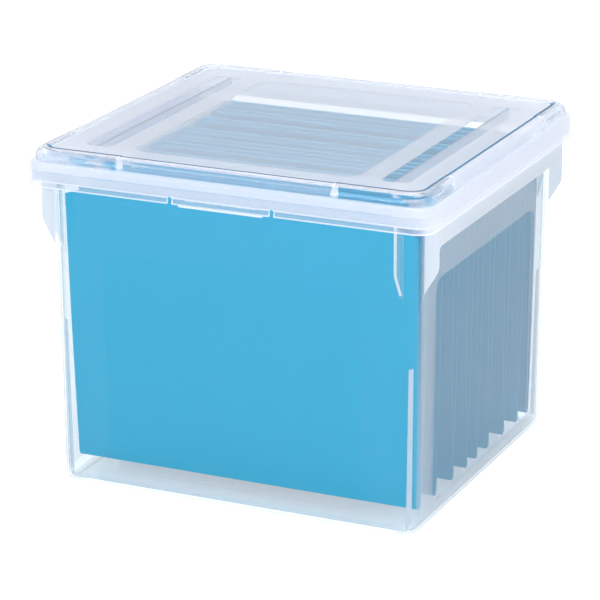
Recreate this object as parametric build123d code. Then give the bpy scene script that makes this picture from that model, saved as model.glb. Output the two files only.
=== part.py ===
from build123d import *
import os
from math import radians, sqrt, tan

# Portable file box: a frosted polypropylene tub whose side walls carry a row of letter-size
# hanging folders, and a lift-off lid with a raised bead that locates the next box in a stack.
# Origin: centre of the base, on the floor. +X to the right along the front, -Y towards the
# front, +Z up. Millimetres.

# ---- tub walls
base_length = 307.4
base_width = 285.6
draft_angle = 0.537
tub_corner = 13.2
tub_wall = 2.0
floor_thickness = 2.4
base_fillet = 5.0
inner_base_bevel = 2.2
foot_inset = 9.0
foot_height = 0.8

# ---- rim, rails and carrying grips
rail_top = 248.0
rail_bevel = 0.6
rim_overhang = 12.5
rim_corner = 13.0
rim_wall = 2.0
rim_floor_rise = 5.2
rim_depth = 13.1
rim_edge_bevel = 0.6
grip_floor_drop = 6.5
grip_skirt_height = 8.0
grip_end_inset = 7.6
grip_corner_round = 5.0
grip_leg_land = 0.1

# ---- corner gussets
gusset_thickness = 2.4
gusset_side_inset = 10.6
gusset_upright_height = 38.7
gusset_slope_height = 22.0
gusset_heel_height = 11.5
gusset_knee_round = 14.0
gusset_ankle_round = 20.0

# ---- clear windows moulded into the tub walls
window_depth = 0.35
window_top_margin = 50.0
window_bottom = 16.0
window_corner = 12.0
front_window_margin = 43.7
side_window_margin = 36.8

# ---- ribs inside the corners, which stop empty tubs from wedging together
corner_rib_top = 137.5
corner_rib_half = 4.4
corner_rib_reach = 3.4
corner_rib_growth = 0.8
corner_rib_slope = 40.0

# ---- lid
lid_clearance = 0.45
lid_seat_gap = 0.3
lid_wall = 1.6
lip_overlap = 4.6
lip_proud = 1.3
lip_height = 4.6
lip_slope_height = 2.1
lip_bevel = 0.6
ledge_thickness = 1.6
ledge_round = 1.5
bead_base_inset = 4.4
bead_height = 9.5
bead_round = 6.0
bead_corner_proud = 2.0
bead_corner_rise = 0.4
bead_corner_round = 19.0
bead_corner_run_x = 80.6
bead_corner_run_y = 64.7
bead_inner_bevel = 1.3
bead_wall = 1.8
bead_hollow_bevel = 2.5
bead_web = 1.6
panel_drop = 2.1
panel_thickness = 1.8
panel_corner = 10.0
stack_clearance = 2.5
pane_depth = 0.3
lid_window_width = 23.8
lid_window_side_margin = 18.6
lid_window_end_margin = 24.8
lid_window_corner = 7.0
centre_pane_gap = 18.3
centre_pane_end_margin = 24.3
centre_pane_corner = 9.0
hold_down_depth = 12.0
hold_down_thickness = 1.6
tab_half = 35.0
tab_drop = 1.2
tab_rib_inset = 6.0
tab_rib_width = 1.6
tab_rib_rise = 4.6
notch_gap = 7.9
notch_width = 4.2
notch_height = 5.6
gate_place = (4.0, -11.5)
gate_radius = 2.2
gate_height = 0.25

# ---- hanging folders; a station is a share of the half rail, from the middle towards the back
folder_stations = (-0.889, -0.648, -0.377, -0.151, 0.015, 0.203, 0.467, 0.708, 0.896)
folder_spreads = (22.0, 13.0, 11.0, 11.0, 11.0, 11.0, 11.0, 11.0, 12.0)
folder_side_gap = 3.72
folder_floor_gap = 11.3
folder_taper = 1.4
folder_bottom_bevel = 2.0
folder_fold_width = 2.8
hem_cut_back = 22.0
folder_shoulder_drop = 7.0
card = 0.6
rod_thickness = 1.0
rod_height = 8.0
rod_end_cover = 1.42
hook_cover = 0.4
hook_clearance = 0.3
hook_side_clearance = 1.1
hook_tip_width = 2.2
hook_tip_drop = 4.2
hook_sleeve = 10.0
hook_bevel = 1.4

# ---- sizes that follow
draft = tan(radians(draft_angle))


def wall_half_x(height):
    return base_length / 2 + draft * height


def wall_half_y(height):
    return base_width / 2 + draft * height


rim_floor = rail_top + rim_floor_rise
rim_top = rim_floor + rim_depth
rim_half_x = wall_half_x(rim_floor) + rim_overhang
rim_half_y = wall_half_y(rim_floor) + rim_overhang
flange_top = rim_floor + rim_wall
grip_floor = rail_top - grip_floor_drop
grip_skirt_bottom = grip_floor - grip_skirt_height
grip_end = base_width / 2 - grip_end_inset
rail_half = grip_end - gusset_thickness
gusset_knee = rim_floor - gusset_upright_height
gusset_ankle = gusset_knee - gusset_slope_height
gusset_foot = gusset_ankle - gusset_heel_height
skirt_half_x = rim_half_x + lid_clearance + lid_wall
skirt_half_y = rim_half_y + lid_clearance + lid_wall
skirt_corner = rim_corner + lid_clearance + lid_wall
lip_bottom = rim_floor - lip_overlap
ledge_underside = rim_top + lid_seat_gap
ledge_top = ledge_underside + ledge_thickness
crest = ledge_top + bead_height
panel_top = crest - panel_drop
panel_underside = panel_top - panel_thickness
panel_half_x = base_length / 2 + stack_clearance
panel_half_y = base_width / 2 + stack_clearance
rail_inner_face = wall_half_x(rail_top) - tub_wall
folder_top = rail_top + hook_clearance + hook_tip_drop - hook_cover + card
folder_foot = floor_thickness + folder_floor_gap
folder_top_half = rail_inner_face - folder_side_gap
hem_half = folder_top_half - hem_cut_back
rod_half = rail_inner_face - hook_side_clearance - rod_end_cover
above = crest + 20
run_past = 1.0


def plan_block(half_x, half_y, corner, low, high, taper=0.0):
    """A rounded rectangle in plan, raised from one height to another."""
    plan = Plane.XY.offset(low) * RectangleRounded(2 * half_x, 2 * half_y, corner)
    return extrude(plan, high - low, taper=taper)


def box_between(x, y, z):
    """A plain block between two limits along each axis."""
    size = (x[1] - x[0], y[1] - y[0], z[1] - z[0])
    middle = ((x[0] + x[1]) / 2, (y[0] + y[1]) / 2, (z[0] + z[1]) / 2)
    return Pos(*middle) * Box(*size)


def top_edges(solid):
    return solid.faces().sort_by(Axis.Z)[-1].edges()


def bottom_edges(solid):
    return solid.faces().sort_by(Axis.Z)[0].edges()


def drafted_block(shrink, low, high):
    """The tub's drafted outside, moved inwards by shrink, between two heights."""
    half_x = wall_half_x(low) - shrink
    half_y = wall_half_y(low) - shrink
    return plan_block(half_x, half_y, tub_corner - shrink, low, high, taper=-draft_angle)


def gusset_face(wall_face, reach):
    """Side view of a gusset: wall to the left, rim edge to the right."""
    root = wall_face - tub_wall / 2
    outline = Polyline(
        (root, flange_top),
        (reach, flange_top),
        (reach, gusset_knee),
        (wall_face, gusset_ankle),
        (wall_face, gusset_foot),
        (root, gusset_foot),
        close=True,
    )
    face = make_face(outline)
    corners = face.vertices()
    knee = corners.sort_by_distance((reach, gusset_knee, 0))[0]
    face = fillet(knee, gusset_knee_round)
    ankle = face.vertices().sort_by_distance((wall_face, gusset_ankle, 0))[0]
    return fillet(ankle, gusset_ankle_round)


def make_gussets():
    """Eight corner gussets, two at each corner, under the rim's outer edge."""
    mid_height = (gusset_ankle + gusset_foot) / 2
    gussets = []
    side = Plane.XZ * gusset_face(wall_half_x(mid_height), rim_half_x)
    front = Plane.YZ * gusset_face(wall_half_y(mid_height), rim_half_y)
    side_place = grip_end - gusset_thickness / 2
    front_place = base_length / 2 - gusset_side_inset
    for turn in (0, 180):
        for sign in (-1, 1):
            slab = extrude(side, gusset_thickness / 2, both=True)
            gussets.append(Rot(0, 0, turn) * Pos(0, sign * side_place, 0) * slab)
            slab = extrude(front, gusset_thickness / 2, both=True)
            gussets.append(Rot(0, 0, turn) * Pos(sign * front_place, 0, 0) * slab)
    return gussets


def grip_skirt_face():
    """The turned-down edge of a carrying grip, with a leg rounded into each gusset."""
    leg_foot = grip_skirt_bottom - grip_corner_round - grip_leg_land
    face = make_face(Polyline(
        (-grip_end, flange_top),
        (grip_end, flange_top),
        (grip_end, leg_foot),
        (rail_half, leg_foot),
        (rail_half, grip_skirt_bottom),
        (-rail_half, grip_skirt_bottom),
        (-rail_half, leg_foot),
        (-grip_end, leg_foot),
        close=True,
    ))
    for end in (-rail_half, rail_half):
        corner = face.vertices().sort_by_distance((end, grip_skirt_bottom, 0))[0]
        face = fillet(corner, grip_corner_round)
    return face


def make_tub():
    outside = drafted_block(0, 0, flange_top)
    outside = fillet(bottom_edges(outside), base_fillet)
    inside = drafted_block(tub_wall, floor_thickness, above)
    inside = chamfer(bottom_edges(inside), inner_base_bevel)
    rim = plan_block(rim_half_x, rim_half_y, rim_corner, rim_floor, rim_top)
    rim = chamfer(top_edges(rim), rim_edge_bevel)
    rim_inner_x = rim_half_x - rim_wall
    rim_inner_y = rim_half_y - rim_wall
    tray = plan_block(rim_inner_x, rim_inner_y, rim_corner - rim_wall, flange_top, above)

    grip_channels = []
    grip_pockets = []
    rail_cuts = []
    for sign in (-1, 1):
        limits = sorted((sign * (wall_half_x(0) - tub_wall), sign * rim_half_x))
        channel = box_between(limits, (-grip_end, grip_end), (grip_floor - rim_wall, flange_top))
        grip_channels.append(channel)
        skirt = extrude(Plane.YZ * grip_skirt_face(), rim_wall)
        grip_channels.append(Pos(rim_half_x - rim_wall if sign > 0 else -rim_half_x, 0, 0) * skirt)
        limits = sorted((sign * wall_half_x(0), sign * rim_inner_x))
        pocket = box_between(limits, (-rail_half, rail_half), (grip_floor, above))
        grip_pockets.append(pocket - drafted_block(0, 0, above))
        limits = sorted((sign * (wall_half_x(0) - tub_wall * 2), sign * rim_inner_x))
        cut = box_between(limits, (-rail_half, rail_half), (rail_top, above))
        rail_cuts.append(cut)

    tub = outside + rim + grip_channels + make_gussets()
    tub = tub - inside - tray - grip_pockets - rail_cuts + make_corner_ribs()
    front_window = base_length / 2 - front_window_margin
    side_window = base_width / 2 - side_window_margin
    for sign in (-1, 1):
        tub = tub - Rot(0, 0, 90 - 90 * sign) * wall_window(front_window, wall_half_y)
        tub = tub - Rot(0, 0, 90 * sign) * wall_window(side_window, wall_half_x)
    foot_cut = plan_block(
        base_length / 2 - foot_inset, base_width / 2 - foot_inset, tub_corner, -run_past, foot_height)
    tub = tub - foot_cut
    rails = tub.edges().filter_by(Axis.Y).filter_by(
        lambda edge: abs(edge.center().Z - rail_top) < 0.01 and edge.length > grip_end)
    return chamfer(rails, rail_bevel)


def corner_rib_section(height, reach):
    """Plan of the rib in the corner at +X +Y: a triangle rooted in the wall, pointing inwards."""
    inward = tub_corner - (tub_corner - tub_wall) / sqrt(2)
    root = tub_wall / 2
    triangle = make_face(Polyline(
        (root, -corner_rib_half), (-reach, 0), (root, corner_rib_half), close=True))
    corner = Pos(wall_half_x(height) - inward, wall_half_y(height) - inward, height)
    return corner * Rot(0, 0, 45) * triangle


def make_corner_ribs():
    """Four upright ribs, one in each corner, thicker towards the floor and sloped at the top."""
    foot = corner_rib_section(floor_thickness / 2, corner_rib_reach + corner_rib_growth)
    head = corner_rib_section(corner_rib_top, corner_rib_reach)
    rib = loft([foot, head])
    tip = head.vertices().sort_by(Axis.X)[-1].center()
    fall = tan(radians(corner_rib_slope)) / sqrt(2)
    slope = Plane(origin=(tip.X, tip.Y, corner_rib_top), z_dir=(-fall, -fall, 1))
    rib = split(rib, bisect_by=slope, keep=Keep.BOTTOM)
    pair = [rib, mirror(rib, Plane.YZ)]
    return pair + [mirror(each, Plane.XZ) for each in pair]


def wall_window(half_width, wall_half):
    """What is cut from the outside of the front wall to sink its clear window."""
    top = rail_top - window_top_margin
    height = top - window_bottom
    middle = (top + window_bottom) / 2
    face = Plane.XZ * Pos(0, middle) * RectangleRounded(2 * half_width, height, window_corner)
    slab = Pos(0, -wall_half(0), 0) * extrude(face, 2 * tub_wall, both=True)
    turned = wall_half is wall_half_x
    core = drafted_block(window_depth, 0, above)
    return slab - (Rot(0, 0, 90) * core if turned else core)


def make_lid():
    skirt = plan_block(skirt_half_x, skirt_half_y, skirt_corner, lip_bottom, ledge_top)
    skirt = fillet(top_edges(skirt), ledge_round)
    lip = plan_block(
        skirt_half_x + lip_proud, skirt_half_y + lip_proud, skirt_corner,
        lip_bottom, lip_bottom + lip_height)
    lip = chamfer(top_edges(lip), lip_slope_height, lip_proud)
    lip = chamfer(bottom_edges(lip), lip_bevel)
    bead = bead_block(0, 0)
    middle_x = skirt_half_x - bead_corner_run_x
    middle_y = skirt_half_y - bead_corner_run_y
    proud = bead_block(bead_corner_proud, bead_corner_rise)
    proud = proud - box_between((-middle_x, middle_x), (-above, above), (0, above))
    proud = proud - box_between((-above, above), (-middle_y, middle_y), (0, above))
    shell = skirt + lip + bead + proud

    well = plan_block(
        skirt_half_x - lid_wall, skirt_half_y - lid_wall, rim_corner + lid_clearance,
        0, ledge_underside)
    bead_inset = bead_base_inset + bead_wall
    hollow = plan_block(
        skirt_half_x - bead_inset, skirt_half_y - bead_inset, bead_corner_round - bead_wall,
        ledge_underside - run_past, crest - bead_wall)
    hollow = chamfer(top_edges(hollow), bead_hollow_bevel)
    hollow = hollow - plan_block(
        panel_half_x + bead_wall, panel_half_y + bead_wall, panel_corner + bead_wall,
        panel_underside, above)
    lid = shell - well - (hollow - bead_webs(middle_x, middle_y))

    rib_place = panel_half_x - lid_window_side_margin - lid_window_width / 2
    window_half_y = panel_half_y - lid_window_end_margin
    for sign in (-1, 1):
        rib = box_between(
            (sign * rib_place - hold_down_thickness / 2, sign * rib_place + hold_down_thickness / 2),
            (-window_half_y, window_half_y),
            (panel_underside - hold_down_depth, panel_underside + panel_thickness / 2))
        lid = lid + rib
        window = plan_block(
            lid_window_width / 2, window_half_y, lid_window_corner, panel_top - pane_depth, above)
        lid = lid - Pos(sign * rib_place, 0, 0) * window
    lid = lid - plan_block(
        rib_place - lid_window_width / 2 - centre_pane_gap, panel_half_y - centre_pane_end_margin,
        centre_pane_corner, panel_top - pane_depth, above)
    gate = Cylinder(gate_radius, gate_height + pane_depth, align=(Align.CENTER, Align.CENTER, Align.MIN))
    lid = lid + Pos(*gate_place, panel_top - 2 * pane_depth) * gate

    lip_face = skirt_half_y + lip_proud
    tab = box_between(
        (-tab_half, tab_half), (-lip_face, -(skirt_half_y - lid_wall)),
        (lip_bottom - tab_drop, lip_bottom + run_past))
    rib_low = lip_bottom - tab_drop + tab_rib_rise
    tab_rib = box_between(
        (tab_rib_inset - tab_half, tab_half - tab_rib_inset), (-lip_face, -skirt_half_y),
        (rib_low, rib_low + tab_rib_width))
    lid = lid + tab + tab_rib
    for sign in (-1, 1):
        lid = lid - Pos(sign * (tab_half + notch_gap), -skirt_half_y, 0) * lip_notch()
    return lid


def bead_webs(middle_x, middle_y):
    """Thin webs that close the hollow bead off where its proud corner runs begin."""
    web_height = (ledge_underside, above)
    webs = []
    for sign in (-1, 1):
        across = sorted((sign * middle_x, sign * (middle_x + bead_web)))
        along = sorted((sign * middle_y, sign * (middle_y + bead_web)))
        for side in (-1, 1):
            front = sorted((side * panel_half_y, side * skirt_half_y))
            end = sorted((side * panel_half_x, side * skirt_half_x))
            webs += [box_between(across, front, web_height), box_between(end, along, web_height)]
    return webs


def bead_block(proud, rise):
    """The raised bead round its sunk panel, standing out and up a little where it is proud."""
    inset = bead_base_inset - proud
    block = plan_block(
        skirt_half_x - inset, skirt_half_y - inset, bead_corner_round,
        ledge_top - run_past, crest + rise)
    block = fillet(top_edges(block), bead_round + proud)
    block = block - plan_block(panel_half_x, panel_half_y, panel_corner, panel_top, above)
    ring = block.faces().sort_by(Axis.Z)[-1]
    return chamfer(ring.inner_wires()[0].edges(), bead_inner_bevel)


def lip_notch():
    """A round-topped notch through the lip and the foot of the skirt."""
    depth = 2 * (lip_proud + lid_wall)
    radius = notch_width / 2
    low = lip_bottom - run_past
    round_centre = lip_bottom + notch_height - radius
    slot = box_between((-radius, radius), (-depth / 2, depth / 2), (low, round_centre))
    arch = Pos(0, 0, round_centre) * Rot(90, 0, 0) * Cylinder(radius, depth)
    return slot + arch


def folder_outline(spread):
    """Cross-section of one folder: two flaps, a bottom fold and a closed hem on each flap."""
    hem_width = rod_thickness + 2 * card
    hem_foot = folder_top - rod_height - 2 * card
    outer = spread / 2 + hem_width / 2
    fold = folder_fold_width / 2
    v_outside = make_face(Polyline(
        (-outer, hem_foot), (-fold, folder_foot), (fold, folder_foot), (outer, hem_foot), close=True))
    v_inside = make_face(Polyline(
        (-outer + card, hem_foot), (-fold + card, folder_foot + card),
        (fold - card, folder_foot + card), (outer - card, hem_foot), close=True))
    hem_middle = (folder_top + hem_foot) / 2
    hem = Rectangle(hem_width, folder_top - hem_foot) - Rectangle(rod_thickness, rod_height)
    hems = [Pos(sign * spread / 2, hem_middle) * hem for sign in (-1, 1)]
    return v_outside - v_inside + hems


def folder_front_view():
    """Front view of the card: hems cut short, sloped shoulders, sides slightly tapered."""
    hem_foot = folder_top - rod_height - 2 * card
    shoulder = hem_foot - folder_shoulder_drop
    top = folder_top_half
    bottom = folder_top_half - folder_taper
    right = [
        (hem_half, folder_top), (hem_half, hem_foot), (top, shoulder), (bottom, folder_foot)]
    left = [(-across, height) for across, height in reversed(right)]
    face = make_face(Polyline(*right, *left, close=True))
    for end in (-bottom, bottom):
        corner = face.vertices().sort_by_distance((end, folder_foot, 0))[0]
        face = chamfer(corner, folder_bottom_bevel)
    return face


def make_pocket(spread):
    section = extrude(Plane.YZ * folder_outline(spread), 2 * folder_top_half, both=True)
    return section & extrude(Plane.XZ * folder_front_view(), base_width, both=True)


def make_rod():
    """A flat steel strip that fills its hem and ends inside the two hooks."""
    return box_between(
        (-rod_half, rod_half),
        (-rod_thickness / 2, rod_thickness / 2),
        (folder_top - card - rod_height, folder_top - card))


def hook_face():
    """Side view of the right-hand hook, notched over the rail."""
    top = folder_top - card + hook_cover
    foot = folder_top - card - rod_height - hook_cover
    notch_inner = rail_inner_face - hook_side_clearance
    notch_outer = wall_half_x(rail_top) + hook_side_clearance
    notch_top = rail_top + hook_clearance
    tip = notch_outer + hook_tip_width
    sleeve_end = notch_inner - hook_sleeve
    face = make_face(Polyline(
        (sleeve_end, top), (tip, top), (tip, notch_top - hook_tip_drop),
        (notch_outer, notch_top - hook_tip_drop), (notch_outer, notch_top),
        (notch_inner, notch_top), (notch_inner, foot), (sleeve_end, foot), close=True))
    corner = face.vertices().sort_by_distance((tip, top, 0))[0]
    return chamfer(corner, hook_bevel)


def make_hook(rod):
    hook = extrude(Plane.XZ * hook_face(), rod_thickness / 2 + hook_cover, both=True)
    return hook - rod


def save(shape, name, label_colour):
    shape.label = name
    shape.color = label_colour
    export_step(shape, f"parts/{name}.step")


def make_folders():
    rod = make_rod()
    hook = make_hook(rod)
    mirrored_hook = mirror(hook, Plane.YZ)
    for number, (station, spread) in enumerate(zip(folder_stations, folder_spreads), start=1):
        place = station * rail_half
        name = f"folder_{number}"
        save(Pos(0, place, 0) * make_pocket(spread), f"{name}_pocket", Color(0.2, 0.65, 0.85))
        hooks = []
        for sign, side in ((-1, "front"), (1, "rear")):
            shift = Pos(0, place + sign * spread / 2, 0)
            save(shift * rod, f"{name}_{side}_rod", Color(0.7, 0.7, 0.72))
            hooks += [shift * hook, shift * mirrored_hook]
        save(Compound(children=hooks), f"{name}_hooks", Color(0.95, 0.95, 0.95))


os.makedirs("parts", exist_ok=True)
save(make_tub(), "tub", Color(0.9, 0.93, 0.97, 0.4))
save(make_lid(), "lid", Color(0.88, 0.92, 0.98, 0.4))
make_folders()
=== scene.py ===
import math
import bmesh
import bpy
from mathutils import Matrix, Vector


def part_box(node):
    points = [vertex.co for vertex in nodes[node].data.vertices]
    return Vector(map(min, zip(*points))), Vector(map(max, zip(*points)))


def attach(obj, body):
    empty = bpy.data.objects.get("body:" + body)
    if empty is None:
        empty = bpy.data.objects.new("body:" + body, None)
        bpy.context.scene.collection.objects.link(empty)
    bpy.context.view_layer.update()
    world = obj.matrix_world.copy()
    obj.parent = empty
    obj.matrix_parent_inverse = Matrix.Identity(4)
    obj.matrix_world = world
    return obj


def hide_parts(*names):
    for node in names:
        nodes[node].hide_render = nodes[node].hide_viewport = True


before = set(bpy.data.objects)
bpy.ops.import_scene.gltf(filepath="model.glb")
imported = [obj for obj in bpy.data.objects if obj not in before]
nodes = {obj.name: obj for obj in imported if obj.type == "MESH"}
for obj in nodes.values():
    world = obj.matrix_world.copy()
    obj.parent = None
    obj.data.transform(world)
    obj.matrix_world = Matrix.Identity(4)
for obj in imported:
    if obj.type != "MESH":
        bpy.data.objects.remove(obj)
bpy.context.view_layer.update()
mm = 0.001
folderNumbers = range(1, 10)


def hexColour(code):
    channels = [int(code[i:i + 2], 16) / 255 for i in (0, 2, 4)]
    linear = [c / 12.92 if c <= 0.04045 else ((c + 0.055) / 1.055) ** 2.4 for c in channels]
    return (*linear, 1.0)


# an input is a plain value, a socket to link from, or a node whose first live output is linked
def addNode(tree, kind, inputs={}, **settings):
    node = tree.nodes.new(kind)
    for name, value in settings.items():
        setattr(node, name, value)
    for key, value in inputs.items():
        if isinstance(value, bpy.types.Node):
            value = next(output for output in value.outputs if output.enabled)
        if isinstance(value, bpy.types.NodeSocket):
            tree.links.new(value, node.inputs[key])
        else:
            node.inputs[key].default_value = value
    return node


def newMaterial(name):
    material = bpy.data.materials.new(name)
    material.use_nodes = True
    material.node_tree.nodes.clear()
    return material, material.node_tree


# a condition is a share from 0 to 1, or a value, "over" or "under", and its limit
def combine(tree, operation, conditions):
    whole = None
    for condition in conditions:
        if isinstance(condition, tuple):
            value, side, limit = condition
            compare = "GREATER_THAN" if side == "over" else "LESS_THAN"
            condition = addNode(tree, "ShaderNodeMath", {0: value, 1: limit}, operation=compare)
        if whole is None:
            whole = condition
        else:
            whole = addNode(tree, "ShaderNodeMath", {0: whole, 1: condition}, operation=operation)
    return whole


def every(tree, *conditions):
    return combine(tree, "MULTIPLY", conditions)


def either(tree, *conditions):
    return combine(tree, "MAXIMUM", conditions)


# how far a point lies past the straight sides of a rounded rectangle, across and along
def pastStraight(tree, across, along, centre, half, corner):
    point = addNode(tree, "ShaderNodeCombineXYZ", {0: across, 1: along})
    fromCentre = addNode(tree, "ShaderNodeVectorMath", {0: point, 1: (*centre, 0)}, operation="SUBTRACT")
    offsets = addNode(tree, "ShaderNodeVectorMath", {0: fromCentre}, operation="ABSOLUTE")
    straight = (half[0] - corner, half[1] - corner, 0)
    past = addNode(tree, "ShaderNodeVectorMath", {0: offsets, 1: straight}, operation="SUBTRACT")
    return addNode(tree, "ShaderNodeVectorMath", {0: past, 1: (0, 0, 0)}, operation="MAXIMUM")


# how far inside a rounded rectangle a point of the surface lies, from 0 outside to 1 inside
def insideRounded(tree, across, along, centre, half, corner, edge):
    past = pastStraight(tree, across, along, centre, half, corner)
    length = addNode(tree, "ShaderNodeVectorMath", {0: past}, operation="LENGTH")
    distance = addNode(tree, "ShaderNodeMath", {0: corner, 1: length}, operation="SUBTRACT")
    return addNode(tree, "ShaderNodeMath", {0: distance, 1: edge}, operation="DIVIDE", use_clamp=True)


# degrees, metres and millimetres of lens on the usual 36 mm sensor
cameraValues = {
    "place": (0.9817, -2.1616, 0.9112),
    "azimuth": 24.571,
    "elevation": 18.230,
    "roll": -0.124,
    "lens": 184.17,
    "clipEnd": 50,
}


def makeCamera(values):
    azimuth, elevation, roll = (math.radians(values[k]) for k in ("azimuth", "elevation", "roll"))
    back = Vector((
        math.sin(azimuth) * math.cos(elevation),
        -math.cos(azimuth) * math.cos(elevation),
        math.sin(elevation)))
    right = Vector((math.cos(azimuth), math.sin(azimuth), 0))
    up = back.cross(right)
    tiltedRight = right * math.cos(roll) + up * math.sin(roll)
    tiltedUp = up * math.cos(roll) - right * math.sin(roll)
    camera = bpy.data.cameras.new("camera")
    camera.lens = values["lens"]
    camera.clip_end = values["clipEnd"]
    holder = bpy.data.objects.new("camera", camera)
    turn = Matrix((tiltedRight, tiltedUp, back)).transposed()
    holder.matrix_world = Matrix.Translation(values["place"]) @ turn.to_4x4()
    bpy.context.scene.collection.objects.link(holder)
    bpy.context.scene.camera = holder


makeCamera(cameraValues)
print("camera placed")


# where a point of the surface lies, then which way it faces, with x and y counted from the middle both ways
def surfacePlace(tree):
    coordinates = addNode(tree, "ShaderNodeTexCoord").outputs
    parts = []
    for name, count in (("Object", 3), ("Normal", 2)):
        mirrored = addNode(tree, "ShaderNodeVectorMath", {0: coordinates[name]}, operation="ABSOLUTE")
        parts += addNode(tree, "ShaderNodeSeparateXYZ", {0: mirrored}).outputs[:count]
    return parts


# injection-moulded polypropylene: a thin clear wall with a gloss and a milky veil from its crystals,
# which looks denser where the wall is seen at a slant, and glows along a cut edge
def polypropylene(name, values, zones, grained, bent=lambda *surface: ()):
    material, tree = newMaterial(name)
    slant = addNode(tree, "ShaderNodeLayerWeight").outputs["Facing"]
    slantSquared = addNode(tree, "ShaderNodeMath", {0: slant, 1: slant}, operation="MULTIPLY")
    surface = surfacePlace(tree)
    haze = None
    for share, headOn, grazing in zones(tree, values, surface):
        here = addNode(tree, "ShaderNodeMath", {
            0: slantSquared, 1: grazing, 2: headOn}, operation="MULTIPLY_ADD")
        haze = here if share is None else addNode(tree, "ShaderNodeMix", {0: share, 2: haze, 3: here})
    colour = hexColour(values["colour"])
    lit = addNode(tree, "ShaderNodeBsdfDiffuse", {"Color": colour})
    through = addNode(tree, "ShaderNodeBsdfTranslucent", {"Color": colour})
    veil = addNode(tree, "ShaderNodeMixShader", {0: values["veilThrough"], 1: lit, 2: through})
    shade = addNode(tree, "ShaderNodeMix", {
        0: slantSquared, 6: hexColour(values["shade"]), 7: hexColour(values["slantShade"])}, data_type="RGBA")
    sight = addNode(tree, "ShaderNodeBsdfTransparent", {"Color": shade})
    for share, kind, inputs in bent(tree, values, surface):
        sight = addNode(tree, "ShaderNodeMixShader", {0: share, 1: sight, 2: addNode(tree, kind, inputs)})
    body = addNode(tree, "ShaderNodeMixShader", {0: haze, 1: sight, 2: veil})
    rise = addNode(tree, "ShaderNodeMath", {0: slant, 1: values["mirrorRise"]}, operation="POWER")
    mirrored = addNode(tree, "ShaderNodeMath", {
        0: rise, 1: 1 - values["mirror"], 2: values["mirror"]}, operation="MULTIPLY_ADD")
    roughness = addNode(tree, "ShaderNodeMix", {
        0: grained(tree, values, surface), 2: values["gloss"], 3: values["grainedGloss"]})
    gloss = addNode(tree, "ShaderNodeBsdfAnisotropic", {"Roughness": roughness})
    skin = addNode(tree, "ShaderNodeMixShader", {0: mirrored, 1: body, 2: gloss})
    opening = addNode(tree, "ShaderNodeBsdfTransparent", {"Color": (values["lampPass"],) * 3 + (1.0,)})
    towardsLamp = addNode(tree, "ShaderNodeLightPath").outputs["Is Shadow Ray"]
    whole = addNode(tree, "ShaderNodeMixShader", {0: towardsLamp, 1: skin, 2: opening})
    addNode(tree, "ShaderNodeOutputMaterial", {"Surface": whole})
    return material


# places are in metres, and each haze is the veil's share seen head on and what a full slant adds
tubPlastic = {
    "colour": "dde3ea",     # natural polypropylene, a cold milky white
    "shade": "fbfdfe",
    "slantShade": "e9f1f7",
    "veilThrough": 0.5,     # share of the veil's light that comes from behind the wall
    "mirror": 0.039,        # share mirrored head on, from an index of 1.49
    "mirrorRise": 5.0,      # power by which that grows towards a full slant
    "gloss": 0.12,          # roughness of the polished faces
    "grainedGloss": 0.25,   # the windows have a fine spark-eroded grain
    "lampPass": 0.93,       # share of a lamp's light that a wall lets through
    "faceOn": 0.9,          # a wall's or gusset's broad face turns at least this far to x or y
    "edgeOn": 0.5,          # a gusset's cut edge turns less than this
    "wallHaze": (0.0, 0.45),
    "sideWallHaze": (0.08, 0.55),
    "windowHaze": (0.0, 0.03),
    "windowHalf": ((0.110, 0.091), (0.106, 0.091)),
    "windowMiddle": 0.107,
    "windowCorner": 0.012,
    "windowEdge": 0.0006,
    "cornerHaze": (0.005, 0.35),
    "cornerStart": (0.1425, 0.1316),
    "cornerBlend": 0.004,
    "baseHaze": (0.08, 0.15),
    "baseTop": 0.0075,
    "rimHaze": (0.35, 0.3),
    "rimStart": (0.1575, 0.1466),
    "gussetHaze": (0.02, 0.10),
    "sideGussetHaze": (0.80, 0.1),
    "gussetTop": 0.2525,
    "edgeHaze": (0.9, 0.0),
    "ribHaze": (1.0, 0.0),
    "ribTop": 0.139,
    "ribInside": 0.0099,    # the rib is nearer than this to the corner's axis, and the wall is farther
    "cornerCentre": (0.1405, 0.1296),
    "draft": 0.00937,       # how far the walls lean out for each metre up
}


def wallWindows(tree, values, surface):
    x, y, z, facingX, facingY = surface
    masks = []
    for across, facing, half in zip((x, y), (facingY, facingX), values["windowHalf"]):
        inside = insideRounded(
            tree, across, z, (0, values["windowMiddle"]), half, values["windowCorner"], values["windowEdge"])
        masks.append(every(tree, inside, (facing, "over", values["faceOn"])))
    return either(tree, *masks)


# the short rib inside each lower corner, by its distance from the leaning axis that the corner is turned on
def cornerRib(tree, values, surface):
    x, y, z = surface[:3]
    fromAxis = []
    for part, centre in zip((x, y), values["cornerCentre"]):
        axis = addNode(tree, "ShaderNodeMath", {
            0: z, 1: values["draft"], 2: centre}, operation="MULTIPLY_ADD")
        fromAxis.append(addNode(tree, "ShaderNodeMath", {0: part, 1: axis}, operation="SUBTRACT"))
    offset = addNode(tree, "ShaderNodeCombineXYZ", {0: fromAxis[0], 1: fromAxis[1]})
    distance = addNode(tree, "ShaderNodeVectorMath", {0: offset}, operation="LENGTH")
    return every(
        tree, (distance, "under", values["ribInside"]), *((part, "over", 0) for part in fromAxis),
        (z, "under", values["ribTop"]), (z, "over", values["baseTop"]))


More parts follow.
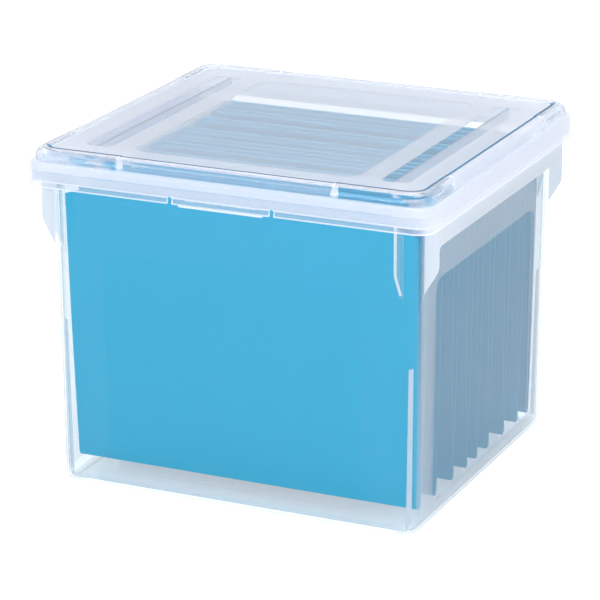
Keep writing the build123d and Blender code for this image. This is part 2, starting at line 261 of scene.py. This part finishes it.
def tubZones(tree, values, surface):
    x, y, z, facingX, facingY = surface
    broadX, broadY = ((facing, "over", values["faceOn"]) for facing in (facingX, facingY))
    edgeX, edgeY = ((facing, "under", values["edgeOn"]) for facing in (facingX, facingY))
    pastX, pastY = ((part, "over", start) for part, start in zip((x, y), values["rimStart"]))
    underRim = (z, "under", values["gussetTop"])
    nearCorner = [
        addNode(tree, "ShaderNodeMapRange", {0: part, 1: start, 2: start + values["cornerBlend"]})
        for part, start in zip((x, y), values["cornerStart"])]
    yield None, *values["wallHaze"]
    yield every(tree, broadX), *values["sideWallHaze"]
    yield wallWindows(tree, values, surface), *values["windowHaze"]
    yield every(tree, *nearCorner), *values["cornerHaze"]
    yield every(tree, (z, "under", values["baseTop"])), *values["baseHaze"]
    yield either(tree, pastX, pastY), *values["rimHaze"]
    yield every(tree, pastY, broadX, underRim), *values["gussetHaze"]
    yield every(tree, pastY, edgeX, underRim), *values["edgeHaze"]
    yield every(tree, pastX, broadY, underRim), *values["sideGussetHaze"]
    yield every(tree, pastX, edgeY, underRim), *values["edgeHaze"]
    yield cornerRib(tree, values, surface), *values["ribHaze"]


tubMaterial = polypropylene("mouldedPolypropyleneTub", tubPlastic, tubZones, wallWindows)

lidPlastic = {
    "colour": "edeef5",
    "shade": "f8fafd",
    "slantShade": "f8fafd",
    "veilThrough": 0.5,
    "mirror": 0.039,
    "mirrorRise": 5.0,
    "gloss": 0.07,
    "grainedGloss": 0.28,   # the middle pane is grained, the long ones are polished
    "lampPass": 0.93,
    "index": 1.49,
    "panelBlur": 0.01,      # how rough the panel is to what is seen through it
    "beadIndex": 1.25,      # the hollow bead's two walls together bend less than one solid would
    "beadBlur": 0.16,
    "frameHaze": (0.42, 0.40),
    "paneHaze": (0.22, 0.22),
    "paneHalf": (0.0955, 0.121),
    "paneCorner": 0.009,
    "paneFoot": 0.2700,
    "windowEdge": 0.0006,
    "sidePaneHaze": (0.05, 0.20),
    "sideHalf": (0.0119, 0.1205),
    "sideMiddle": 0.1257,
    "sideCorner": 0.007,
    "panelHalf": (0.1561, 0.1452),
    "beadHaze": (0.14, 0.35),
    "sideBeadHaze": (0.42, 0.35),
    "beadWallHaze": (0.40, 0.3),
    "cornerBeadHaze": (0.02, 0.38),
    "beadFoot": 0.26845,
    "crestHaze": (0.30, 0.55),
    "crestHalf": (0.1602, 0.1488),
    "crestCorner": 0.0126,
    "crestEdge": 0.00015,
    "crestFoot": 0.2770,
    # painted shade: the crest's turned edge is tinted dark, judged by a made-up normal that leans towards the
    # panel
    "crestTilt": 0.6,       # how far the rounded edge leans towards the panel
    "crestSlant": (0.60, 0.78),     # turned away this far it starts to darken, and is darkest
    # the dark steel-blue tint of that painted shade line
    "crestShade": "3fa0cc",
    "turnedHaze": (0.0, 0.0),
    "plateHaze": (0.40, 0.3),
    "plateReach": (0.140, 0.130),
    "plateTop": 0.2736,
    "webHaze": (0.8, 0.1),
    "webStart": (0.0899, 0.0949),
    "webEnd": (0.0917, 0.0967),
    "webInside": (0.1540, 0.1650),  # how far out the webs reach, on y and on x
    "skirtStart": (0.1575, 0.1466),
    "ledgeHaze": (0.45, 0.2),
    "ledgeFoot": 0.2615,
    "skirtHaze": (0.15, 0.30),
    "sideSkirtHaze": (0.45, 0.30),
    "edgeHaze": (0.85, 0.0),
    "creaseFoot": 0.2530,
    "creaseTop": 0.2538,
    "lipFoot": 0.2490,
    "notchFacing": 0.3,     # the notches' sides turn at least this far to x
    "notchEnd": 0.0465,
    "notchTop": 0.2546,
}


def lidPane(tree, values, surface):
    x, y, z = surface[:3]
    middle = insideRounded(tree, x, y, (0, 0), values["paneHalf"], values["paneCorner"], values["windowEdge"])
    return every(tree, middle, (z, "over", values["paneFoot"]))


def sidePane(tree, values, surface):
    x, y, z = surface[:3]
    centre = (values["sideMiddle"], 0)
    side = insideRounded(tree, x, y, centre, values["sideHalf"], values["sideCorner"], values["windowEdge"])
    return every(tree, side, (z, "over", values["paneFoot"]))


# all that lies outside the sunk panel, as the bead does
def offPanel(tree, values, surface):
    return either(tree, *((part, "over", half) for part, half in zip(surface, values["panelHalf"])))


# the bead's rounded inner edge, where it turns away from the eye, is painted as a thin dark line: painted
# shade, a steel-blue tint on the crest that is deepest where a leaning normal turns from the eye
def paintedEdgeShade(tree, values, surface):
    x, y, z = surface[:3]
    half, corner = values["crestHalf"], values["crestCorner"]
    crest = insideRounded(tree, x, y, (0, 0), half, corner, values["crestEdge"])
    past = pastStraight(tree, x, y, (0, 0), half, corner)
    place = addNode(tree, "ShaderNodeTexCoord").outputs["Object"]
    quarter = addNode(tree, "ShaderNodeVectorMath", {0: place}, operation="SIGN")
    turned = addNode(tree, "ShaderNodeVectorMath", {0: past, 1: quarter}, operation="MULTIPLY")
    outward = addNode(tree, "ShaderNodeVectorMath", {0: turned}, operation="NORMALIZE")
    leaning = addNode(tree, "ShaderNodeVectorMath", {
        0: outward, 1: (-values["crestTilt"],) * 3, 2: (0, 0, 1)}, operation="MULTIPLY_ADD")
    normal = addNode(tree, "ShaderNodeVectorMath", {0: leaning}, operation="NORMALIZE")
    slant = addNode(tree, "ShaderNodeLayerWeight", {"Normal": normal}).outputs["Facing"]
    low, high = values["crestSlant"]
    away = addNode(tree, "ShaderNodeMapRange", {0: slant, 1: low, 2: high})
    return every(tree, crest, (z, "over", values["crestFoot"]), away)


def lidZones(tree, values, surface):
    x, y, z, facingX = surface[:4]
    off = offPanel(tree, values, surface)
    raised, sunk = ((z, side, values["beadFoot"]) for side in ("over", "under"))
    outside = either(tree, *((part, "over", start) for part, start in zip((x, y), values["skirtStart"])))
    inside = [(part, "under", start) for part, start in zip((x, y), values["skirtStart"])]
    atCorner = [(part, "over", end) for part, end in zip((x, y), values["webEnd"])]
    atSide = ((x, "over", values["panelHalf"][0]), (y, "under", values["webEnd"][1]))
    webs = [
        every(tree, (along, "over", start), (along, "under", end), (across, "under", limit))
        for along, across, start, end, limit in zip(
            (x, y), (y, x), values["webStart"], values["webEnd"], values["webInside"])]
    crease = every(tree, (z, "over", values["creaseFoot"]), (z, "under", values["creaseTop"]))
    notch = every(
        tree, (facingX, "over", values["notchFacing"]), (x, "under", values["notchEnd"]),
        (z, "under", values["notchTop"]))
    cutEdge = either(tree, crease, notch, (z, "under", values["lipFoot"]))
    plate = [(part, "under", limit) for part, limit in zip((x, y), values["plateReach"])]
    yield None, *values["frameHaze"]
    yield lidPane(tree, values, surface), *values["paneHaze"]
    yield sidePane(tree, values, surface), *values["sidePaneHaze"]
    yield every(tree, off, raised), *values["beadHaze"]
    yield every(tree, raised, *atSide), *values["sideBeadHaze"]
    yield every(tree, off, raised, *inside), *values["beadWallHaze"]
    yield every(tree, off, (z, "over", values["crestFoot"])), *values["crestHaze"]
    yield every(tree, off, raised, *atCorner), *values["cornerBeadHaze"]
    yield every(tree, off, either(tree, *webs)), *values["webHaze"]
    yield every(tree, outside, sunk), *values["ledgeHaze"]
    yield every(tree, outside, (z, "under", values["ledgeFoot"])), *values["skirtHaze"]
    yield every(tree, outside, facingX, sunk), *values["sideSkirtHaze"]
    yield every(tree, outside, cutEdge), *values["edgeHaze"]
    yield every(tree, *plate, (z, "under", values["plateTop"])), *values["plateHaze"]
    # no veil over the painted shade line
    yield paintedEdgeShade(tree, values, surface), *values["turnedHaze"]


# the bead bends what is seen through it, and the panel's fine grain blurs it
def lidBent(tree, values, surface):
    shade = hexColour(values["shade"])
    raised = (surface[2], "over", values["beadFoot"])
    yield every(tree, raised), "ShaderNodeBsdfRefraction", {
        "Color": shade, "IOR": values["index"], "Roughness": values["panelBlur"]}
    yield every(tree, offPanel(tree, values, surface), raised), "ShaderNodeBsdfGlass", {
        "Color": shade, "IOR": values["beadIndex"], "Roughness": values["beadBlur"]}
    # painted shade: the crest's turned edge lets through only a dark steel-blue tint
    yield paintedEdgeShade(tree, values, surface), "ShaderNodeBsdfTransparent", {
        "Color": hexColour(values["crestShade"])}


lidMaterial = polypropylene("mouldedPolypropyleneLid", lidPlastic, lidZones, lidPane, lidBent)
print("plastic made")

cardValues = {
    "colour": "00a4cb",
    "fibreColour": "06aad0",
    "fibre": 1.2 * mm,      # tufts of fibre, which show where single fibres are too fine to
    "fibreDetail": 3.0,
    "mottle": 20 * mm,
    "mottleDetail": 2.0,
    "mottleShare": 0.6,
    "roughness": 0.72,
    "specular": 0.04,
    "bump": 0.04,
    "bumpHeight": 0.3 * mm,
    # painted highlight: above this height, along the lit top over the rod, the card is tinted paler
    "topHighlightColour": "b4def0",
    "topHighlightFoot": 251.9 * mm,
    "topHighlightShare": 0.2,
}


# dyed manila card, calendered: matt, with faint fibre mottling, and a painted highlight: paler along its lit
# top where it folds over a rod
def dyedCard(values):
    material, tree = newMaterial("dyedManilaCard")
    place = addNode(tree, "ShaderNodeTexCoord").outputs["Object"]
    fibre, mottle = (
        addNode(tree, "ShaderNodeTexNoise", {
            "Vector": place, "Scale": 1 / values[pattern], "Detail": values[pattern + "Detail"]})
        for pattern in ("fibre", "mottle"))
    share = addNode(tree, "ShaderNodeMix", {0: values["mottleShare"], 2: fibre, 3: mottle})
    dyed = addNode(tree, "ShaderNodeMix", {
        0: share, 6: hexColour(values["colour"]), 7: hexColour(values["fibreColour"])}, data_type="RGBA")
    height = addNode(tree, "ShaderNodeSeparateXYZ", {0: place}).outputs[2]
    # painted highlight along the lit top of the card
    paintedTopHighlight = every(tree, (height, "over", values["topHighlightFoot"]), values["topHighlightShare"])
    colour = addNode(tree, "ShaderNodeMix", {
        0: paintedTopHighlight, 6: dyed, 7: hexColour(values["topHighlightColour"])}, data_type="RGBA")
    bump = addNode(tree, "ShaderNodeBump", {
        "Height": fibre, "Strength": values["bump"], "Distance": values["bumpHeight"]})
    card = addNode(tree, "ShaderNodeBsdfPrincipled", {
        "Base Color": colour, "Roughness": values["roughness"],
        "Specular IOR Level": values["specular"], "Normal": bump})
    addNode(tree, "ShaderNodeOutputMaterial", {"Surface": card})
    return material


steelValues = {
    "colour": "e4e7ea",
    "metallic": 0.7,
    "roughness": (0.5, 0.65),
    "grain": 0.25 * mm,     # coarser than real rolling marks, so that it shows
    "grainStretch": (0.05, 1, 1),
}


# cold-rolled steel strip: a pale grey metal with a dull sheen, drawn out along its length
def rolledSteel(values):
    material, tree = newMaterial("rolledSteelStrip")
    place = addNode(tree, "ShaderNodeTexCoord").outputs["Object"]
    drawn = addNode(tree, "ShaderNodeMapping", {"Vector": place, "Scale": values["grainStretch"]})
    grain = addNode(tree, "ShaderNodeTexNoise", {"Vector": drawn, "Scale": 1 / values["grain"]})
    low, high = values["roughness"]
    roughness = addNode(tree, "ShaderNodeMapRange", {0: grain, 3: low, 4: high})
    steel = addNode(tree, "ShaderNodeBsdfPrincipled", {
        "Base Color": hexColour(values["colour"]), "Metallic": values["metallic"], "Roughness": roughness})
    addNode(tree, "ShaderNodeOutputMaterial", {"Surface": steel})
    return material


nylonValues = {
    "colour": "8fc2dc",
    "roughness": (0.35, 0.5),
    "cloud": 5 / 3 * mm,
}


# injection-moulded nylon: a smooth, waxy plastic whose gloss is slightly cloudy
def mouldedNylon(values):
    material, tree = newMaterial("mouldedNylonHook")
    place = addNode(tree, "ShaderNodeTexCoord").outputs["Object"]
    cloud = addNode(tree, "ShaderNodeTexNoise", {"Vector": place, "Scale": 1 / values["cloud"]})
    low, high = values["roughness"]
    roughness = addNode(tree, "ShaderNodeMapRange", {0: cloud, 3: low, 4: high})
    nylon = addNode(tree, "ShaderNodeBsdfPrincipled", {
        "Base Color": hexColour(values["colour"]), "Roughness": roughness})
    addNode(tree, "ShaderNodeOutputMaterial", {"Surface": nylon})
    return material


def dress(node, material):
    nodes[node].data.materials.clear()
    nodes[node].data.materials.append(material)


cardMaterial = dyedCard(cardValues)
steelMaterial = rolledSteel(steelValues)
nylonMaterial = mouldedNylon(nylonValues)
dress("tub", tubMaterial)
dress("lid", lidMaterial)
for number in folderNumbers:
    dress(f"folder_{number}_front_rod", steelMaterial)
    dress(f"folder_{number}_rear_rod", steelMaterial)
    dress(f"folder_{number}_hooks", nylonMaterial)
    dress(f"folder_{number}_pocket", cardMaterial)
nodes["lid"].visible_shadow = False     # the lamps reach the folders through it undimmed
print("materials given")

# a V of card hung from two steel strips, with hems and slots for tabs
folderValues = {
    "cardThick": 0.5 * mm,
    "rodToCard": 0.8 * mm,
    "hemTop": 252.42 * mm,
    "hemFoot": 243.5 * mm,
    "hemHalf": 128.3 * mm,
    "tailFoot": 237.0 * mm,     # the hem's free end is glued to the inside of the flap
    "tailTop": 242.5 * mm,
    "tailGap": 0.6 * mm,
    "tailLean": 0.15 * mm,
    "innerRows": (243.8 * mm, 251.92 * mm),
    "topRound": ((-0.75, 0.17 * mm), (0, 0), (0.75, 0.17 * mm)),    # share of the way to the card, and drop
    "shoulderFoot": 236.5 * mm,
    "flapHalf": 150.3 * mm,
    "footHalf": 148.9 * mm,
    "footCorner": 0.8 * mm,
    "footCornerRows": (0.5, 0.2, 0),
    "foot": 13.95 * mm,
    "foldRadius": 1.1 * mm,
    "foldRows": 3,
    "flapRows": 14,
    "bow": 0.9 * mm,
    "columnPitch": 4.4 * mm,
    "endStart": 124.0 * mm,     # the columns past here spread out to each row's own end
    "endColumns": 5,
    "slotReach": 4,             # slots each side of the middle one
    "slotPitch": 25.4 * mm,
    "slotHalf": 6.0 * mm,
    "slotFoot": 249.0 * mm,
    "slotTop": 251.2 * mm,
    "waviness": 0.5 * mm,
    "waveLength": 110 * mm,
    "waveStart": 40.0 * mm,     # how far under the hem the waviness is whole
    "seedStep": 7.0,
    "sharpTurn": 35.0,
}


# half a folder's rows from the hem's free end to the foot: distance from the middle, height, half width
def flapRows(values, rodFrom):
    card, top, hem = values["rodToCard"], values["hemTop"], values["hemHalf"]
    glued = rodFrom + card - values["tailGap"]
    rows = [(glued - values["tailLean"], values["tailFoot"], hem), (glued, values["tailTop"], hem)]
    rows += [(rodFrom - card, z, hem) for z in values["innerRows"]]
    rows += [(rodFrom + side * card, top - drop, hem) for side, drop in values["topRound"]]
    rows += [(rodFrom + card, z, hem) for z in (values["slotTop"], values["slotFoot"], values["hemFoot"])]
    foldHeight = values["foot"] + values["foldRadius"]
    fall = foldHeight + values["footCorner"] - values["shoulderFoot"]
    steps = values["flapRows"]
    heights = [values["shoulderFoot"] + fall * row / steps for row in range(steps + 1)]
    heights += [foldHeight + values["footCorner"] * share for share in values["footCornerRows"]]
    for z in heights:
        down = (values["hemFoot"] - z) / (values["hemFoot"] - foldHeight)
        straight = (rodFrom + card) * (1 - down) + values["foldRadius"] * down
        width = values["flapHalf"] + (values["footHalf"] - values["flapHalf"]) * down
        low = max(0, values["footCorner"] - (z - foldHeight))
        width -= values["footCorner"] - math.sqrt(values["footCorner"] ** 2 - low ** 2)
        rows.append((straight + values["bow"] * math.sin(math.pi * down), z, width))
    return rows


# the fold at the foot, rounded from one flap to the other
def foldRows(values):
    radius, count = values["foldRadius"], values["foldRows"]
    half = values["footHalf"] - values["footCorner"]
    angles = [math.pi * row / (count + 1) for row in range(1, count + 1)]
    return [
        (math.cos(angle) * radius, values["foot"] + radius * (1 - math.sin(angle)), half)
        for angle in angles]


# the columns along a folder, with one at each edge of each slot, out to where the ends begin
def columnPlaces(values):
    edges = sorted(
        values["slotPitch"] * slot + side * values["slotHalf"]
        for slot in range(-values["slotReach"], values["slotReach"] + 1) for side in (-1, 1))
    edges = [-values["endStart"], *edges, values["endStart"]]
    places = [edges[0]]
    for low, high in zip(edges, edges[1:]):
        steps = max(1, round((high - low) / values["columnPitch"]))
        places += [low + (high - low) * (step + 1) / steps for step in range(steps)]
    return places


def foldedCard(name, values, middle, rodFrom):
    flap = flapRows(values, rodFrom)
    rows = [(-away, z, half) for away, z, half in flap + foldRows(values)] + flap[::-1]
    columns = columnPlaces(values)
    ends = values["endColumns"]
    work = bmesh.new()
    grid = []
    for away, z, half in rows:
        past = half - values["endStart"]
        spread = [columns[0] - past * (ends - step) / ends for step in range(ends)]
        line = spread + columns + [-x for x in spread[::-1]]
        grid.append([work.verts.new((x, middle + away, z)) for x in line])
    for lower, upper in zip(grid, grid[1:]):
        for left in range(len(lower) - 1):
            work.faces.new((lower[left], lower[left + 1], upper[left + 1], upper[left]))
    mesh = bpy.data.meshes.new(name)
    work.to_mesh(mesh)
    work.free()
    mesh.polygons.foreach_set("use_smooth", [True] * len(mesh.polygons))
    piece = bpy.data.objects.new(name, mesh)
    bpy.context.scene.collection.objects.link(piece)
    return piece


# cuts the slots for tabs out of the rear hem's outer side, and gives the card below it a slight waviness
def slottedCardTree():
    tree = bpy.data.node_groups.new("slottedCard", "GeometryNodeTree")
    sizes = (
        "Middle", "Outer Side", "Slot Pitch", "Slot Half", "Slot Foot", "Slot Top", "Slots Reach",
        "Hem Foot", "Wave Start", "Waviness", "Wave Length", "Seed")
    kinds = {"Card": "Geometry", **{size: "Float" for size in sizes}, "Material": "Material"}
    for name, kind in kinds.items():
        tree.interface.new_socket(name=name, in_out="INPUT", socket_type="NodeSocket" + kind)
    tree.interface.new_socket(name="Card", in_out="OUTPUT", socket_type="NodeSocketGeometry")
    given = addNode(tree, "NodeGroupInput").outputs
    place = addNode(tree, "GeometryNodeInputPosition")
    x, y, z = addNode(tree, "ShaderNodeSeparateXYZ", {0: place}).outputs
    fromMiddle = addNode(tree, "ShaderNodeMath", {0: y, 1: given["Middle"]}, operation="SUBTRACT")
    halfUp, halfDown = (
        addNode(tree, "ShaderNodeMath", {0: given["Slot Pitch"], 1: share}, operation="MULTIPLY")
        for share in (0.5, -0.5))
    wrapped = addNode(tree, "ShaderNodeMath", {0: x, 1: halfUp, 2: halfDown}, operation="WRAP")
    fromSlot, fromCentre = (
        addNode(tree, "ShaderNodeMath", {0: across}, operation="ABSOLUTE") for across in (wrapped, x))
    cut = every(
        tree, (fromMiddle, "over", given["Outer Side"]), (z, "over", given["Slot Foot"]),
        (z, "under", given["Slot Top"]), (fromSlot, "under", given["Slot Half"]),
        (fromCentre, "under", given["Slots Reach"]))
    opened = addNode(tree, "GeometryNodeDeleteGeometry", {
        "Geometry": given["Card"], "Selection": cut}, domain="FACE")
    flat = addNode(tree, "ShaderNodeCombineXYZ", {0: x, 2: z})
    waves = addNode(tree, "ShaderNodeMath", {0: 1.0, 1: given["Wave Length"]}, operation="DIVIDE")
    noise = addNode(tree, "ShaderNodeTexNoise", {
        "Vector": flat, "W": given["Seed"], "Scale": waves}, noise_dimensions="4D")
    swing = addNode(tree, "ShaderNodeMath", {0: noise, 1: 2.0, 2: -1.0}, operation="MULTIPLY_ADD")
    drop = addNode(tree, "ShaderNodeMath", {0: given["Hem Foot"], 1: z}, operation="SUBTRACT")
    share = addNode(tree, "ShaderNodeMath", {
        0: drop, 1: given["Wave Start"]}, operation="DIVIDE", use_clamp=True)
    offset = addNode(tree, "ShaderNodeCombineXYZ", {1: every(tree, swing, share, given["Waviness"])})
    waved = addNode(tree, "GeometryNodeSetPosition", {"Geometry": opened, "Offset": offset})
    real = addNode(tree, "GeometryNodeRealizeInstances", {0: waved})
    dressed = addNode(tree, "GeometryNodeSetMaterial", {"Geometry": real, "Material": given["Material"]})
    addNode(tree, "NodeGroupOutput", {0: dressed})
    return tree


def runTree(piece, tree, inputs):
    modifier = piece.modifiers.new(tree.name, "NODES")
    modifier.node_group = tree
    for socket in tree.interface.items_tree:
        if socket.in_out == "INPUT" and socket.name in inputs:
            modifier[socket.identifier] = inputs[socket.name]


# swaps a piece's mesh for what its modifiers make of it
def settle(piece):
    graph = bpy.context.evaluated_depsgraph_get()
    mesh = bpy.data.meshes.new_from_object(piece.evaluated_get(graph))
    piece.modifiers.clear()
    piece.data = mesh


cardTree = slottedCardTree()
for number in folderNumbers:
    front, rear = (
        sum(corner[1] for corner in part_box(f"folder_{number}_{side}_rod")) / 2 for side in ("front", "rear"))
    middle, rodFrom = (front + rear) / 2, (rear - front) / 2
    card = foldedCard(f"cardPocket{number}", folderValues, middle, rodFrom)
    runTree(card, cardTree, {
        "Middle": middle, "Outer Side": rodFrom + folderValues["rodToCard"] / 2,
        "Slot Pitch": folderValues["slotPitch"], "Slot Half": folderValues["slotHalf"],
        "Slot Foot": folderValues["slotFoot"], "Slot Top": folderValues["slotTop"],
        "Slots Reach": folderValues["endStart"], "Hem Foot": folderValues["hemFoot"],
        "Wave Start": folderValues["waveStart"], "Waviness": folderValues["waviness"],
        "Wave Length": folderValues["waveLength"], "Seed": folderValues["seedStep"] * number,
        "Material": cardMaterial})
    thickness = card.modifiers.new("thickness", "SOLIDIFY")
    thickness.thickness = folderValues["cardThick"]
    thickness.offset = 0
    settle(card)
    card.data.set_sharp_from_angle(angle=math.radians(folderValues["sharpTurn"]))
    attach(card, f"folder_{number}")
    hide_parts(f"folder_{number}_pocket")
print("folders made")

stageValues = {
    "floorHalf": 12.0,
    "floorColour": "e6e6e6",
    "glowColour": "ffffff",
    "floorGlow": 0.85,
    "floorMirrored": 0.12,
    "floorBounce": 0.15,
    "skyGlow": 1.0,
    "skyMirrored": 0.80,
    "ambient": 0.6,
}
lampAim = (0, 0, 0.14)      # the middle of the box
lampValues = (
    {"name": "overheadSoftbox", "place": (0.1, 0.2, 2.1), "size": (1.6, 1.2), "power": 25},
    {"name": "leftSoftbox", "place": (-1.05, -2.1, 1.25), "size": (1.6, 0.45), "power": 8},
    {"name": "rightSoftbox", "place": (1.8, -1.3, 0.95), "size": (2.2, 1.6), "power": 25},
    {"name": "frontStrip", "place": (-0.75, -1.85, 0.45), "size": (1.4, 0.08), "power": 5},
)


# how strong the white looks: seen straight or through plastic, in a gloss, and to all other light
def whiteSeen(tree, seen, mirrored, plain):
    light = addNode(tree, "ShaderNodeLightPath").outputs
    unscattered = (light["Diffuse Depth"], "under", 1)
    through = every(tree, light["Is Transmission Ray"], unscattered)
    whole = either(tree, through, light["Is Camera Ray"])
    glossy = every(tree, light["Is Glossy Ray"], unscattered)
    partly = addNode(tree, "ShaderNodeMix", {0: glossy, 2: plain, 3: mirrored})
    return addNode(tree, "ShaderNodeMix", {0: whole, 2: partly, 3: seen})


def makeFloor(values):
    half = values["floorHalf"]
    mesh = bpy.data.meshes.new("floor")
    corners = [(x * half, y * half, 0) for x, y in ((-1, -1), (1, -1), (1, 1), (-1, 1))]
    mesh.from_pydata(corners, [], [(0, 1, 2, 3)])
    floor = bpy.data.objects.new("floor", mesh)
    bpy.context.scene.collection.objects.link(floor)
    material, tree = newMaterial("paintedFloor")
    lit = addNode(tree, "ShaderNodeBsdfDiffuse", {"Color": hexColour(values["floorColour"])})
    strength = whiteSeen(tree, values["floorGlow"], values["floorMirrored"], values["floorBounce"])
    glow = addNode(tree, "ShaderNodeEmission", {
        "Color": hexColour(values["glowColour"]), "Strength": strength})
    both = addNode(tree, "ShaderNodeAddShader", {0: lit, 1: glow})
    addNode(tree, "ShaderNodeOutputMaterial", {"Surface": both})
    mesh.materials.append(material)


def makeWorld(values):
    world = bpy.data.worlds.new("world")
    world.use_nodes = True
    tree = world.node_tree
    tree.nodes.clear()
    strength = whiteSeen(tree, values["skyGlow"], values["skyMirrored"], values["ambient"])
    sky = addNode(tree, "ShaderNodeBackground", {
        "Color": hexColour(values["glowColour"]), "Strength": strength})
    addNode(tree, "ShaderNodeOutputWorld", {"Surface": sky})
    bpy.context.scene.world = world


def makeLamps(lamps, aim):
    for values in lamps:
        lamp = bpy.data.lights.new(values["name"], "AREA")
        lamp.shape = "RECTANGLE"
        lamp.size, lamp.size_y = values["size"]
        lamp.energy = values["power"]
        holder = bpy.data.objects.new(values["name"], lamp)
        holder.location = values["place"]
        holder.rotation_euler = (Vector(aim) - holder.location).to_track_quat("-Z", "Y").to_euler()
        bpy.context.scene.collection.objects.link(holder)


makeFloor(stageValues)
makeWorld(stageValues)
makeLamps(lampValues, lampAim)
bpy.context.scene.view_settings.view_transform = "Standard"
print("stage set")
